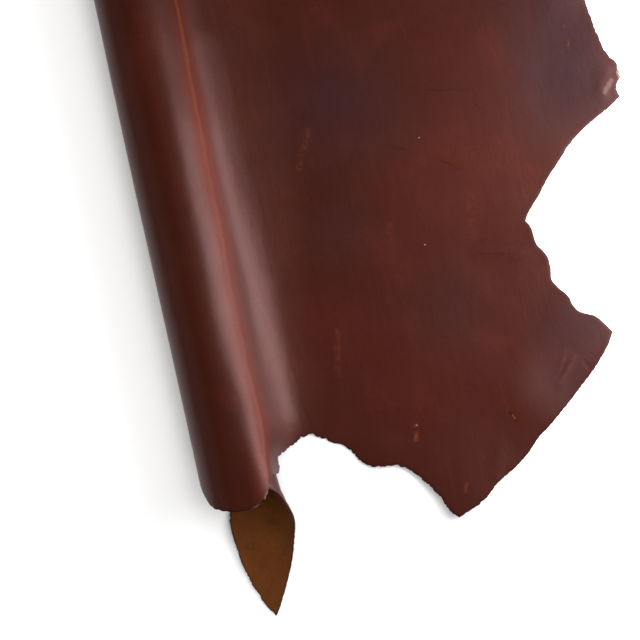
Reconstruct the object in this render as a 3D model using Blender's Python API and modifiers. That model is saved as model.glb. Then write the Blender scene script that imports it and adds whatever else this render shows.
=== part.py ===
"""Leather side: half a cow's hide, one sheet, its back part wound under into a loose flat roll.

The sheet is drawn flat as the outline of the side, in metres across the hide and along it.
It is then bent: the belly part lies on the floor, climbs a slope and winds once and a half
round, grain side out, so that the cut edge of the back is hidden in the roll.
The tail root sticks out below the roll's end and shows its flesh side.

Frame: metres, +Z up and the floor at z = 0. +X runs from the roll to the belly, +Y along the
roll from the butt to the neck. The origin is under the middle of the piece's box.
While the sheet is drawn, x = 0 is the roll's outer side and y = 0 is level with the tail root.
"""
import bmesh
import bpy
import numpy as np
from mathutils import Vector

COLLECTION_NAME = "leather_side"
NODE_NAME = "hide"

THICKNESS = 0.002
FLAT_PART_FROM = 0.255  # past this place across, the sheet lies flat at every place along

# The roll's section, on the flesh side: x from the roll's outer side, z from the floor.
# The slope changes along the roll: it is short at the butt end and longest at the back.
# Each row is a place on the slope, its x and z at each of the five places along.
SLOPE_ALONG = (0.12, 0.23, 0.38, 0.58, 0.76)  # butt end, rump, haunch, loin, back
SLOPE = [
    ("foot",     ((0.1680, 0.0000), (0.2120, 0.0000), (0.2140, 0.0000), (0.2460, 0.0000), (0.2500, 0.0000))),
    ("instep",   ((0.1520, 0.0014), (0.1850, 0.0020), (0.1860, 0.0028), (0.2100, 0.0032), (0.2120, 0.0029))),
    ("toe",      ((0.1390, 0.0042), (0.1660, 0.0053), (0.1670, 0.0068), (0.1760, 0.0096), (0.1780, 0.0091))),
    ("low",      ((0.1270, 0.0105), (0.1500, 0.0114), (0.1490, 0.0134), (0.1490, 0.0168), (0.1510, 0.0162))),
    ("middle",   ((0.1168, 0.0260), (0.1286, 0.0288), (0.1288, 0.0263), (0.1248, 0.0291), (0.1247, 0.0285))),
    ("high",     ((0.1098, 0.0505), (0.1097, 0.0515), (0.1098, 0.0468), (0.1077, 0.0479), (0.1074, 0.0478))),
    ("shoulder", ((0.1010, 0.0700), (0.0954, 0.0666), (0.0953, 0.0618), (0.0952, 0.0614), (0.0950, 0.0612))),
    ("top",      ((0.0860, 0.0782), (0.0791, 0.0751), (0.0789, 0.0729), (0.0789, 0.0731), (0.0787, 0.0730))),
]
# The outer side of the roll stands a little further out towards the neck.
OUTER_ALONG = (0.15, 0.72)
OUTER_TURN = [
    # place,        butt end x, z,      back x, z
    ("crown",      ((0.0625, 0.0790), (0.0540, 0.0792))),
    ("top left",   ((0.0345, 0.0735), (0.0310, 0.0735))),
    ("upper left", ((0.0158, 0.0570), (0.0112, 0.0570))),
    ("left",       ((0.0080, 0.0360), (0.0036, 0.0360))),
]
# The layer under the roll opens out into a shallow trough where it leaves the roll as the tail root.
UNDER_ALONG = (-0.04, 0.07, 0.14)
UNDER_TURN = [
    # place,         tip of the tail x, z, root of the tail x, z, under the roll x, z
    ("lower left",  ((0.0120, 0.0240), (0.0120, 0.0260), (0.0125, 0.0155))),
    ("under left",  ((0.0260, 0.0110), (0.0255, 0.0125), (0.0270, 0.0046))),
    ("under",       ((0.0450, 0.0045), (0.0430, 0.0050), (0.0450, 0.0022))),
    ("under right", ((0.0800, 0.0022), (0.0800, 0.0022), (0.0780, 0.0026))),
    ("bulge low",   ((0.1050, 0.0060), (0.1080, 0.0085), (0.1000, 0.0085))),
    ("bulge",       ((0.1240, 0.0180), (0.1240, 0.0240), (0.1110, 0.0225))),
    ("bulge high",  ((0.1260, 0.0380), (0.1160, 0.0420), (0.1020, 0.0390))),
]
INNER_TURN = [
    # place,          x,      z
    ("inner right",   (0.0830, 0.0500)),
    ("inner crown",   (0.0580, 0.0575)),
    ("inner top",     (0.0320, 0.0540)),
    ("inner left",    (0.0160, 0.0385)),
    ("inner low",     (0.0200, 0.0200)),
    ("inner end",     (0.0380, 0.0115)),
    ("inner edge",    (0.0640, 0.0105)),
]

# The flat outline of the side, in stretches between its corners: across the hide (from the back,
# which is negative, to the belly) and along it (from the tail root to the neck).
# Each stretch starts where the one before it ends.
OUTLINE = [
    ("end of the roll", [
        (-0.106, 0.109), (-0.0995, 0.132), (-0.0845, 0.153), (-0.066, 0.160), (-0.049, 0.147),
        (-0.0345, 0.127), (-0.0095, 0.115), (0.0175, 0.111), (0.041, 0.116), (0.058, 0.137),
    ]),
    ("arch at the foot of the roll", [
        (0.058, 0.137), (0.068, 0.146), (0.088, 0.151), (0.0995, 0.151), (0.105, 0.157),
        (0.1035, 0.168), (0.1125, 0.173), (0.123, 0.176), (0.1385, 0.183), (0.154, 0.189),
        (0.172, 0.191), (0.189, 0.181), (0.204, 0.172), (0.220, 0.159), (0.230, 0.143),
        (0.241, 0.133), (0.256, 0.127), (0.281, 0.123), (0.295, 0.115), (0.306, 0.103),
        (0.318, 0.088), (0.326, 0.075), (0.335, 0.057), (0.343, 0.041), (0.349, 0.035),
    ]),
    ("end of the hind leg", [
        (0.349, 0.035), (0.356, 0.038), (0.370, 0.043), (0.381, 0.048), (0.400, 0.061),
        (0.414, 0.073), (0.432, 0.082), (0.451, 0.094), (0.468, 0.108), (0.481, 0.121),
        (0.497, 0.132), (0.525, 0.154), (0.563, 0.186), (0.587, 0.209), (0.598, 0.222),
        (0.613, 0.244),
    ]),
    ("front of the hind leg", [
        (0.613, 0.244), (0.602, 0.261), (0.593, 0.271), (0.576, 0.280), (0.566, 0.294),
        (0.564, 0.302), (0.553, 0.319), (0.545, 0.334), (0.546, 0.344), (0.543, 0.373),
        (0.535, 0.385), (0.531, 0.412), (0.526, 0.421),
    ]),
    ("flank", [
        (0.526, 0.421), (0.532, 0.431), (0.548, 0.448), (0.561, 0.464), (0.575, 0.480),
        (0.593, 0.497), (0.605, 0.510), (0.633, 0.531), (0.656, 0.544), (0.674, 0.553),
        (0.691, 0.564),
    ]),
    ("belly", [
        (0.691, 0.564), (0.688, 0.574), (0.692, 0.585), (0.697, 0.593), (0.696, 0.604),
        (0.694, 0.614), (0.688, 0.621), (0.683, 0.632), (0.679, 0.652), (0.675, 0.677),
        (0.671, 0.707), (0.663, 0.780), (0.664, 0.900), (0.674, 1.030), (0.672, 1.150),
        (0.655, 1.260), (0.640, 1.330),
    ]),
    ("back of the foreleg", [(0.640, 1.330), (0.650, 1.385), (0.690, 1.440), (0.748, 1.495)]),
    ("end of the foreleg", [(0.748, 1.495), (0.764, 1.545), (0.758, 1.600), (0.735, 1.650)]),
    ("front of the foreleg", [
        (0.735, 1.650), (0.668, 1.672), (0.600, 1.705), (0.545, 1.760), (0.512, 1.840),
        (0.488, 1.940), (0.462, 2.030), (0.420, 2.095),
    ]),
    ("neck", [(0.420, 2.095), (0.300, 2.135), (0.120, 2.150), (-0.120, 2.145), (-0.350, 2.130)]),
    ("cut down the back", [(-0.350, 2.130), (-0.350, 1.400), (-0.3465, 0.700), (-0.3415, 0.300)]),
    ("root of the back", [
        (-0.3415, 0.300), (-0.318, 0.215), (-0.282, 0.165), (-0.2455, 0.142), (-0.217, 0.131),
        (-0.2065, 0.123), (-0.2035, 0.112), (-0.201, 0.098), (-0.197, 0.085), (-0.1895, 0.066),
        (-0.1795, 0.038), (-0.1655, 0.005), (-0.1515, -0.023), (-0.142, -0.040), (-0.1375, -0.046),
    ]),
    ("side of the tail root", [
        (-0.1375, -0.046), (-0.1285, -0.034), (-0.118, -0.009), (-0.113, 0.004), (-0.1095, 0.016),
        (-0.106, 0.029), (-0.103, 0.045), (-0.101, 0.063), (-0.1005, 0.087), (-0.106, 0.109),
    ]),
]
OUTLINE_STEP = 0.016  # metres between points on the outline, at most

# Places where the flat part lifts off the floor: across, along, height, reach.
LIFTS = [
    ("tip of the hind leg", (0.349, 0.035), 0.011, 0.15),
    ("corner of the hind leg", (0.613, 0.244), 0.005, 0.12),
    ("point of the belly", (0.697, 0.593), 0.005, 0.12),
    ("end of the foreleg", (0.764, 1.545), 0.008, 0.16),
]

# Lines where the flat sheet is cut into faces before it is bent.
ROLL_LINE_STEP = 0.0115
ROLL_LINES_FROM = -0.342
FLAT_LINES_ACROSS = (0.30, 0.35, 0.40, 0.47, 0.54, 0.61, 0.68)
LINES_ALONG = (-0.02, 0.01, 0.04, 0.07, 0.10, 0.13, 0.16, 0.20, 0.25, 0.31, 0.38, 0.46,
               0.55, 0.65, 0.80, 1.10, 1.40, 1.50, 1.60, 1.90)
SNAP_DISTANCE = 0.001  # an outline point this near a line is taken as lying on it

SAMPLES_PER_SPAN = 24

LEATHER_COLOUR = (0.094, 0.022, 0.014, 1.0)
LEATHER_ROUGHNESS = 0.45


def clear_scene():
    """Remove every object of the scene."""
    for old_object in list(bpy.data.objects):
        bpy.data.objects.remove(old_object, do_unlink=True)


def smooth_step(low, high, value):
    """Rise from 0 at low to 1 at high, level at both ends."""
    share = min(max((value - low) / (high - low), 0.0), 1.0)
    return share * share * (3.0 - 2.0 * share)


def smooth_curve(points, start_direction=None):
    """Sample the cubic spline through the points; it may leave the first along a direction."""
    points = np.array(points, dtype=float)
    spans = np.linalg.norm(np.diff(points, axis=0), axis=1)
    slopes = np.diff(points, axis=0) / spans[:, None]
    count = len(points)
    matrix = np.eye(count)
    bends = np.zeros((count, 2))
    if start_direction is not None:
        matrix[0, 0:2] = 2.0 * spans[0], spans[0]
        bends[0] = 6.0 * (slopes[0] - np.array(start_direction))
    for k in range(1, count - 1):
        matrix[k, k - 1:k + 2] = spans[k - 1], 2.0 * (spans[k - 1] + spans[k]), spans[k]
        bends[k] = 6.0 * (slopes[k] - slopes[k - 1])
    bends = np.linalg.solve(matrix, bends)
    ahead = np.linspace(0.0, 1.0, SAMPLES_PER_SPAN, endpoint=False)[:, None]
    back = 1.0 - ahead
    pieces = []
    for k in range(count - 1):
        bow = (back**3 - back) * bends[k] + (ahead**3 - ahead) * bends[k + 1]
        pieces.append(back * points[k] + ahead * points[k + 1] + bow * spans[k]**2 / 6.0)
    return np.vstack(pieces + [points[-1:]])


def distances_along(curve):
    """Return how far along a sampled curve each of its points lies."""
    steps = np.linalg.norm(np.diff(curve, axis=0), axis=1)
    return np.concatenate([[0.0], np.cumsum(steps)])


def blend(columns, places, along):
    """Blend a row's columns, which hold at the given places along the roll."""
    columns = np.array(columns)
    value = columns[0]
    for k in range(len(places) - 1):
        share = smooth_step(places[k], places[k + 1], along)
        value = value + share * (columns[k + 1] - columns[k])
    return value


def section_at(along):
    """Return the roll's section at a place along it, from the foot of the slope to the inner edge."""
    points = [blend(columns, SLOPE_ALONG, along) for _, columns in SLOPE]
    points += [blend(columns, OUTER_ALONG, along) for _, columns in OUTER_TURN]
    points += [blend(columns, UNDER_ALONG, along) for _, columns in UNDER_TURN]
    points += [np.array(point) for _, point in INNER_TURN]
    curve = smooth_curve(points, start_direction=(-1.0, 0.0))
    lowest = np.where(curve[:, 0] > points[1][0], 0.0, THICKNESS)
    curve[:, 1] = np.maximum(curve[:, 1], lowest)
    return curve


def lift_at(across, along):
    """Return how far the flat part is off the floor."""
    height = 0.0
    for _, place, top, reach in LIFTS:
        distance = np.hypot(across - place[0], along - place[1])
        height += top * (1.0 - smooth_step(0.0, reach, distance))
    return height


def bent_place(across, along):
    """Return where a place on the flat sheet's flesh side lies once the sheet is bent."""
    section = section_at(along)
    foot = section[0, 0]
    if across >= foot:
        return Vector((across, along, lift_at(across, along)))
    wound = distances_along(section)
    x = np.interp(foot - across, wound, section[:, 0])
    z = np.interp(foot - across, wound, section[:, 1])
    return Vector((x, along, z))


def outline_points():
    """Return the flat outline as one closed ring of points, evenly spread along each stretch."""
    ring = []
    for _, points in OUTLINE:
        curve = smooth_curve(points)
        lengths = distances_along(curve)
        count = int(np.ceil(lengths[-1] / OUTLINE_STEP))
        for place in np.linspace(0.0, lengths[-1], count, endpoint=False):
            across = np.interp(place, lengths, curve[:, 0])
            along = np.interp(place, lengths, curve[:, 1])
            ring.append((across, along))
    return ring


def cut_across_faces(mesh, axis, place):
    """Cut the flat sheet's faces along the line where one coordinate has the given value."""
    line = Vector((0.0, 0.0, 0.0))
    line[axis] = place
    direction = Vector((0.0, 0.0, 0.0))
    direction[axis] = 1.0
    everything = mesh.verts[:] + mesh.edges[:] + mesh.faces[:]
    bmesh.ops.bisect_plane(mesh, geom=everything, plane_co=line, plane_no=direction,
                           dist=SNAP_DISTANCE)


def flat_sheet():
    """Return the flat sheet as a mesh of triangles inside its outline."""
    mesh = bmesh.new()
    corners = [mesh.verts.new((across, along, 0.0)) for across, along in outline_points()]
    mesh.faces.new(corners)
    for place in np.arange(ROLL_LINES_FROM, FLAT_PART_FROM, ROLL_LINE_STEP):
        cut_across_faces(mesh, 0, place)
    for place in FLAT_LINES_ACROSS:
        cut_across_faces(mesh, 0, place)
    for place in LINES_ALONG:
        cut_across_faces(mesh, 1, place)
    bmesh.ops.triangulate(mesh, faces=mesh.faces[:])
    return mesh


def leather_material():
    """Return the plain red-brown of the grain side."""
    material = bpy.data.materials.new("red_brown_leather")
    material.use_nodes = True
    shader = material.node_tree.nodes["Principled BSDF"]
    shader.inputs["Base Color"].default_value = LEATHER_COLOUR
    shader.inputs["Roughness"].default_value = LEATHER_ROUGHNESS
    shader.inputs["Metallic"].default_value = 0.0
    return material


def build_hide(collection):
    """Bend the flat sheet, give it its thickness on the grain side and return the object."""
    sheet = flat_sheet()
    for vertex in sheet.verts:
        vertex.co = bent_place(vertex.co.x, vertex.co.y)
    mesh = bpy.data.meshes.new(NODE_NAME)
    sheet.to_mesh(mesh)
    sheet.free()
    mesh.shade_smooth()
    hide = bpy.data.objects.new(NODE_NAME, mesh)
    collection.objects.link(hide)
    hide.data.materials.append(leather_material())
    solidify = hide.modifiers.new("thickness", "SOLIDIFY")
    solidify.thickness = THICKNESS
    solidify.offset = 1.0
    solidify.use_even_offset = True
    return hide


def centre_on_floor(piece):
    """Move the piece so that the middle of its box's underside is at the origin."""
    bpy.context.view_layer.update()
    solid = piece.evaluated_get(bpy.context.evaluated_depsgraph_get())
    corners = np.array([corner[:] for corner in solid.bound_box])
    low = corners.min(axis=0)
    high = corners.max(axis=0)
    piece.location = (-(low[0] + high[0]) / 2.0, -(low[1] + high[1]) / 2.0, -low[2])


def main():
    """Build the leather side in its own collection."""
    clear_scene()
    collection = bpy.data.collections.new(COLLECTION_NAME)
    bpy.context.scene.collection.children.link(collection)
    hide = build_hide(collection)
    centre_on_floor(hide)


if __name__ == "__main__":
    main()
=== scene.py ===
"""Leather side, pull-up finish: half a cow's hide lying flat, its back part wound under in a roll.

The whole side is one sheet. It is drawn flat, in metres across the hide and along it, then bent
into the same rolled section as the frame's solid and given its thickness, its ragged cut edge,
its soft creases and its three finishes: waxed grain side, napped flesh side and raw cut edge.
"""

import bpy
import numpy as np
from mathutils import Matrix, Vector, kdtree, noise
from mathutils.geometry import delaunay_2d_cdt


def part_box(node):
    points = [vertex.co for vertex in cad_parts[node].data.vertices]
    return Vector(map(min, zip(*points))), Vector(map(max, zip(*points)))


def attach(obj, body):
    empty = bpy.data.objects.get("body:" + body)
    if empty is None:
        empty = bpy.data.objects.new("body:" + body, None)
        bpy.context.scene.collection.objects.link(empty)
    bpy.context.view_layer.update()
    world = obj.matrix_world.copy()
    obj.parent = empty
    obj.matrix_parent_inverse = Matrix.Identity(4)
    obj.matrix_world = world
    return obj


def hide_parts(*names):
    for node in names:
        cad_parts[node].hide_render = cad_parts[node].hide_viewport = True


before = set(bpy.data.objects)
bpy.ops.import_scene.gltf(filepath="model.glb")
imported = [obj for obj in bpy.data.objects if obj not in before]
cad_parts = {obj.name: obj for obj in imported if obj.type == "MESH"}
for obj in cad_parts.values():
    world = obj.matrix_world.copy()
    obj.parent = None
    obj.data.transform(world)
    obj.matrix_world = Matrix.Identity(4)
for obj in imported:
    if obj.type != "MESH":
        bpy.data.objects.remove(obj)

bl_info = {
    "name": "Leather side",
    "version": (1, 0, 0),
    "blender": (4, 5, 0),
    "location": "View3D > Sidebar > Leather side",
    "description": "Builds a partly rolled leather side with its pull-up finish, and its stage",
    "category": "Add Mesh",
}

CAD_NODE = "hide"

# The roll's section, on the flesh side: x from the roll's outer side, z from the floor.
# The slope changes along the roll: it is short at the butt end and longest at the back.
# Each row is a place on the slope, its x and z at each of the five places along.
SLOPE_ALONG = (0.12, 0.23, 0.38, 0.58, 0.76)  # butt end, rump, haunch, loin, back
SLOPE = [
    ("foot", (
        (0.1680, 0.0000), (0.2120, 0.0000), (0.2140, 0.0000), (0.2460, 0.0000), (0.2500, 0.0000))),
    ("instep", (
        (0.1520, 0.0014), (0.1850, 0.0020), (0.1860, 0.0028), (0.2100, 0.0032), (0.2120, 0.0029))),
    ("toe", (
        (0.1390, 0.0042), (0.1660, 0.0053), (0.1670, 0.0068), (0.1760, 0.0096), (0.1780, 0.0091))),
    ("low", (
        (0.1270, 0.0105), (0.1500, 0.0114), (0.1490, 0.0134), (0.1490, 0.0168), (0.1510, 0.0162))),
    ("middle", (
        (0.1168, 0.0260), (0.1286, 0.0288), (0.1288, 0.0263), (0.1248, 0.0291), (0.1247, 0.0285))),
    ("high", (
        (0.1098, 0.0505), (0.1097, 0.0515), (0.1098, 0.0468), (0.1077, 0.0479), (0.1074, 0.0478))),
    ("shoulder", (
        (0.1010, 0.0700), (0.0954, 0.0666), (0.0953, 0.0618), (0.0952, 0.0614), (0.0950, 0.0612))),
    ("top", (
        (0.0860, 0.0782), (0.0791, 0.0751), (0.0789, 0.0729), (0.0789, 0.0731), (0.0787, 0.0730))),
]
# The outer side of the roll stands a little further out towards the neck.
OUTER_ALONG = (0.15, 0.72)
OUTER_TURN = [
    # place,        butt end x, z,      back x, z
    ("crown",      ((0.0625, 0.0790), (0.0540, 0.0792))),
    ("top left",   ((0.0345, 0.0735), (0.0310, 0.0735))),
    ("upper left", ((0.0158, 0.0570), (0.0112, 0.0570))),
    ("left",       ((0.0080, 0.0360), (0.0036, 0.0360))),
]
# The layer under the roll opens into a shallow trough where it leaves the roll as the tail root.
UNDER_ALONG = (-0.04, 0.07, 0.14)
UNDER_TURN = [
    # place,         tip of the tail x, z, root of the tail x, z, under the roll x, z
    ("lower left",  ((0.0120, 0.0240), (0.0120, 0.0260), (0.0125, 0.0155))),
    ("under left",  ((0.0260, 0.0110), (0.0255, 0.0125), (0.0270, 0.0046))),
    ("under",       ((0.0450, 0.0045), (0.0430, 0.0050), (0.0450, 0.0022))),
    ("under right", ((0.0800, 0.0022), (0.0800, 0.0022), (0.0780, 0.0026))),
    ("bulge low",   ((0.1050, 0.0060), (0.1080, 0.0085), (0.1000, 0.0085))),
    ("bulge",       ((0.1240, 0.0180), (0.1240, 0.0240), (0.1110, 0.0225))),
    ("bulge high",  ((0.1260, 0.0380), (0.1160, 0.0420), (0.1020, 0.0390))),
]
INNER_TURN = [
    # place,          x,      z
    ("inner right",   (0.0830, 0.0500)),
    ("inner crown",   (0.0580, 0.0575)),
    ("inner top",     (0.0320, 0.0540)),
    ("inner left",    (0.0160, 0.0385)),
    ("inner low",     (0.0200, 0.0200)),
    ("inner end",     (0.0380, 0.0115)),
    ("inner edge",    (0.0640, 0.0105)),
]

# The flat outline of the side, in stretches between its corners: across the hide (from the back,
# which is negative, to the belly) and along it (from the tail root to the neck).
# Each stretch has its name, how rough its cut edge is (0 is a clean knife cut, and 1 or more a
# torn, hairy edge) and its points. It starts where the one before it ends.
OUTLINE = [
    ("end of the roll", 0.6, [
        (-0.0995, 0.132), (-0.0845, 0.153), (-0.066, 0.16), (-0.049, 0.147), (-0.0345, 0.127),
        (-0.0095, 0.115), (0.0175, 0.111), (0.041, 0.116), (0.058, 0.137),
    ]),
    ("arch at the foot of the roll", 1.2, [
        (0.068, 0.146), (0.088, 0.151), (0.0995, 0.151), (0.105, 0.157), (0.1035, 0.168),
        (0.1125, 0.173), (0.123, 0.176), (0.1385, 0.183), (0.154, 0.189), (0.172, 0.191),
        (0.189, 0.181), (0.204, 0.172), (0.22, 0.159), (0.23, 0.143), (0.241, 0.133),
        (0.256, 0.127), (0.281, 0.123), (0.295, 0.115), (0.306, 0.103), (0.318, 0.088),
        (0.326, 0.075), (0.335, 0.057), (0.343, 0.041), (0.349, 0.035),
    ]),
    ("end of the hind leg", 0.45, [
        (0.356, 0.038), (0.37, 0.043), (0.381, 0.048), (0.4, 0.061), (0.414, 0.073), (0.432, 0.082),
        (0.451, 0.094), (0.468, 0.108), (0.481, 0.121), (0.497, 0.132), (0.525, 0.154),
        (0.563, 0.186), (0.587, 0.209), (0.598, 0.222), (0.613, 0.244),
    ]),
    ("front of the hind leg", 0.25, [
        (0.602, 0.261), (0.593, 0.271), (0.576, 0.28), (0.566, 0.294), (0.564, 0.302),
        (0.553, 0.319), (0.545, 0.334), (0.546, 0.344), (0.543, 0.373), (0.535, 0.385),
        (0.531, 0.412), (0.526, 0.421),
    ]),
    ("flank", 0.3, [
        (0.532, 0.431), (0.548, 0.448), (0.561, 0.464), (0.575, 0.48), (0.593, 0.497),
        (0.605, 0.51), (0.633, 0.531), (0.656, 0.544), (0.674, 0.553), (0.691, 0.564),
    ]),
    ("belly", 0.6, [
        (0.688, 0.574), (0.692, 0.585), (0.697, 0.593), (0.696, 0.604), (0.694, 0.614),
        (0.688, 0.621), (0.683, 0.632), (0.679, 0.652), (0.675, 0.677), (0.671, 0.707),
        (0.663, 0.78), (0.664, 0.9), (0.674, 1.03), (0.672, 1.15), (0.655, 1.26), (0.64, 1.33),
    ]),
    ("back of the foreleg", 0.6, [(0.65, 1.385), (0.69, 1.44), (0.748, 1.495)]),
    ("end of the foreleg", 1.0, [(0.764, 1.545), (0.758, 1.6), (0.735, 1.65)]),
    ("front of the foreleg", 0.6, [
        (0.668, 1.672), (0.6, 1.705), (0.545, 1.76), (0.512, 1.84), (0.488, 1.94), (0.462, 2.03),
        (0.42, 2.095),
    ]),
    ("neck", 0.7, [(0.3, 2.135), (0.12, 2.15), (-0.12, 2.145), (-0.35, 2.13)]),
    ("cut down the back", 0.15, [(-0.35, 1.4), (-0.3465, 0.7), (-0.3415, 0.3)]),
    ("root of the back", 0.35, [
        (-0.318, 0.215), (-0.282, 0.165), (-0.2455, 0.142), (-0.217, 0.131), (-0.2065, 0.123),
        (-0.2035, 0.112), (-0.201, 0.098), (-0.197, 0.085), (-0.1895, 0.066), (-0.1795, 0.038),
        (-0.1655, 0.005), (-0.1515, -0.023), (-0.142, -0.04), (-0.1375, -0.046),
    ]),
    ("side of the tail root", 0.6, [
        (-0.1285, -0.034), (-0.118, -0.009), (-0.113, 0.004), (-0.1095, 0.016), (-0.106, 0.029),
        (-0.103, 0.045), (-0.101, 0.063), (-0.1005, 0.087), (-0.106, 0.109),
    ]),
]

# Places where the flat part lifts off the floor: across, along, height, reach.
LIFTS = [
    ("tip of the hind leg", (0.349, 0.035), 0.011, 0.15),
    ("corner of the hind leg", (0.613, 0.244), 0.005, 0.12),
    ("point of the belly", (0.697, 0.593), 0.005, 0.12),
    ("end of the foreleg", (0.764, 1.545), 0.008, 0.16),
]

# The drawn sheet's furthest places, which lie on the sides of the frame's box.
RIGHT_SIDE_ACROSS = 0.76467
TAIL_TIP_ALONG = -0.04602

# How fine the curves and the bent shape are worked out: along the roll, and round it.
SAMPLES_PER_SPAN = 24
ALONG_FROM = -0.06
ALONG_TO = 2.17
ROW_STEP = 0.005
WIND_STEP = 0.001
SHORT_OF_LAST = 1.001  # steps: a place past the end is looked up just before the last one
SLOPE_AND_CROWN = 0.22  # the slope, up to the crown, is within this much of its foot
NORMAL_REACH = 0.0015  # how far to each side a direction is measured

# The hide's own waviness: how high, how long and which seed, on the flat part and on the roll.
FLAT_WAVES = (0.0005, 0.21, 3)
ROLL_WAVES = (0.0004, 0.14, 8)
FLAT_WAVES_RAISED = 1.3  # the flat part's waves stand on the floor, this many heights up
WAVES_ADDED = 6
WAVE_LENGTHS = (0.7, 1.6)  # shortest and longest, as shares of the length asked for
WAVES_HIGHEST = 3.4  # about how high the added waves come
FOOT_FADE = 0.03  # how far up the slope the flat part's shapes fade out
TOP_FADE = (-0.045, 0.015)  # across: where the roll's waves fade in

# Low, soft shapes that stand up from the floor: across, along, height, reach.
SWELLS = [
    ("waist", (0.5, 0.4), 0.0016, 0.06),
    ("below the waist", (0.56, 0.4), 0.0022, 0.055),
    ("middle of the flank", (0.6, 0.49), 0.001, 0.07),
    ("hock", (0.47, 0.17), 0.0018, 0.08),
    ("thigh", (0.34, 0.25), 0.0012, 0.12),
    ("foot of the arch", (0.26, 0.14), 0.002, 0.05),
    ("belly, low", (0.655, 0.76), 0.0035, 0.08),
    ("belly, middle", (0.665, 0.99), 0.0045, 0.11),
    ("belly, high", (0.655, 1.24), 0.003, 0.08),
    ("armpit", (0.64, 1.37), 0.003, 0.09),
    ("front of the foreleg", (0.62, 1.7), 0.004, 0.09),
    ("throat", (0.48, 1.95), 0.004, 0.11),
    ("corner of the neck", (0.42, 2.09), 0.007, 0.12),
    ("edge of the neck", (0.23, 2.14), 0.004, 0.09),
]

# Soft creases: the two ends, half width, height.
CREASES = [
    ("waist crease", (0.455, 0.391), (0.522, 0.374), 0.011, 0.0009),
    ("flank crease", (0.545, 0.222), (0.528, 0.19), 0.01, 0.0011),
    ("leg crease", (0.428, 0.122), (0.411, 0.08), 0.012, 0.0009),
    ("thigh crease", (0.24, 0.33), (0.212, 0.205), 0.013, 0.0006),
    ("belly fold", (0.68, 0.606), (0.664, 0.57), 0.009, 0.0012),
    ("rib crease", (0.56, 0.86), (0.64, 0.905), 0.014, 0.001),
    ("second rib crease", (0.54, 1.08), (0.65, 1.1), 0.015, 0.0012),
    ("shoulder crease", (0.47, 1.48), (0.62, 1.43), 0.018, 0.0016),
    ("second shoulder crease", (0.45, 1.56), (0.6, 1.6), 0.018, 0.0014),
    ("throat crease", (0.33, 1.86), (0.47, 1.88), 0.016, 0.0014),
    ("neck crease", (0.2, 1.95), (0.42, 1.985), 0.018, 0.0016),
    ("second neck crease", (0.19, 2.04), (0.38, 2.06), 0.016, 0.0012),
]

# The line where the hide was folded hardest and its wax moved away, so that it shows orange,
# and the wide warm band beside it, partly that pull-up and partly a painted highlight tint over the
# slope's two highlights: along, x on the bent sheet, how sharp the line is, how strong the wide
# warm band beside it is.
PULL_UP_LINE = [
    (-0.05, 0.1, 0.0, 0.09), (0.13, 0.099, 0.12, 0.26), (0.16, 0.1, 0.27, 0.39),
    (0.211, 0.105, 0.33, 0.43), (0.245, 0.106, 0.27, 0.43), (0.285, 0.104, 0.18, 0.43),
    (0.345, 0.103, 0.13, 0.43), (0.434, 0.104, 0.13, 0.42), (0.473, 0.1055, 0.17, 0.5),
    (0.55, 0.107, 0.18, 0.55), (0.63, 0.108, 0.24, 0.6), (0.682, 0.1085, 0.27, 0.45),
    (0.8, 0.112, 0.24, 0.17), (1.25, 0.112, 0.21, 0.17), (1.6, 0.1125, 0.18, 0.17),
    (2.17, 0.112, 0.15, 0.17),
]

# Places where the grain side is painted redder or duskier than round them: across, along, reach,
# red, dusk. Most are the dye's own unevenness; the dusk on the flank and the leg's corner is also
# painted sheen, the grey cast of the lamp's reflection by the belly-side edge.
TONES = [
    ("warm middle", (0.44, 0.5), 0.15, 0.55, 0.0),
    ("warm thigh", (0.33, 0.23), 0.15, 0.35, 0.0),
    ("warm by the slope", (0.225, 0.33), 0.11, 0.45, 0.0),
    ("warm leg", (0.5, 0.17), 0.09, 0.25, 0.0),
    ("dusky back", (0.3, 0.64), 0.15, 0.0, 0.55),
    ("dusky rump", (0.27, 0.46), 0.08, 0.0, 0.35),
    # Partly painted sheen: the grey cast of the lamp's reflection by the belly-side edge.
    ("dusky flank", (0.635, 0.61), 0.14, 0.0, 0.9),
    ("dusky belly", (0.64, 0.76), 0.15, 0.0, 0.6),
    ("dusky thigh", (0.4, 0.33), 0.09, 0.0, 0.25),
    # Partly painted sheen: the grey cast of the lamp's reflection by the belly-side edge.
    ("dusky corner", (0.58, 0.262), 0.11, 0.0, 0.62),
    ("dusky heel", (0.53, 0.18), 0.08, 0.0, 0.4),
    ("warm rib", (0.43, 0.9), 0.18, 0.4, 0.0),
    ("dusky rib", (0.56, 1.15), 0.16, 0.0, 0.45),
    ("warm shoulder", (0.4, 1.4), 0.22, 0.4, 0.0),
    ("dusky foreleg", (0.69, 1.58), 0.12, 0.0, 0.5),
    ("dusky neck", (0.3, 1.95), 0.22, 0.0, 0.45),
    ("warm crown", (-0.01, 1.25), 0.25, 0.3, 0.0),
]
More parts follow.
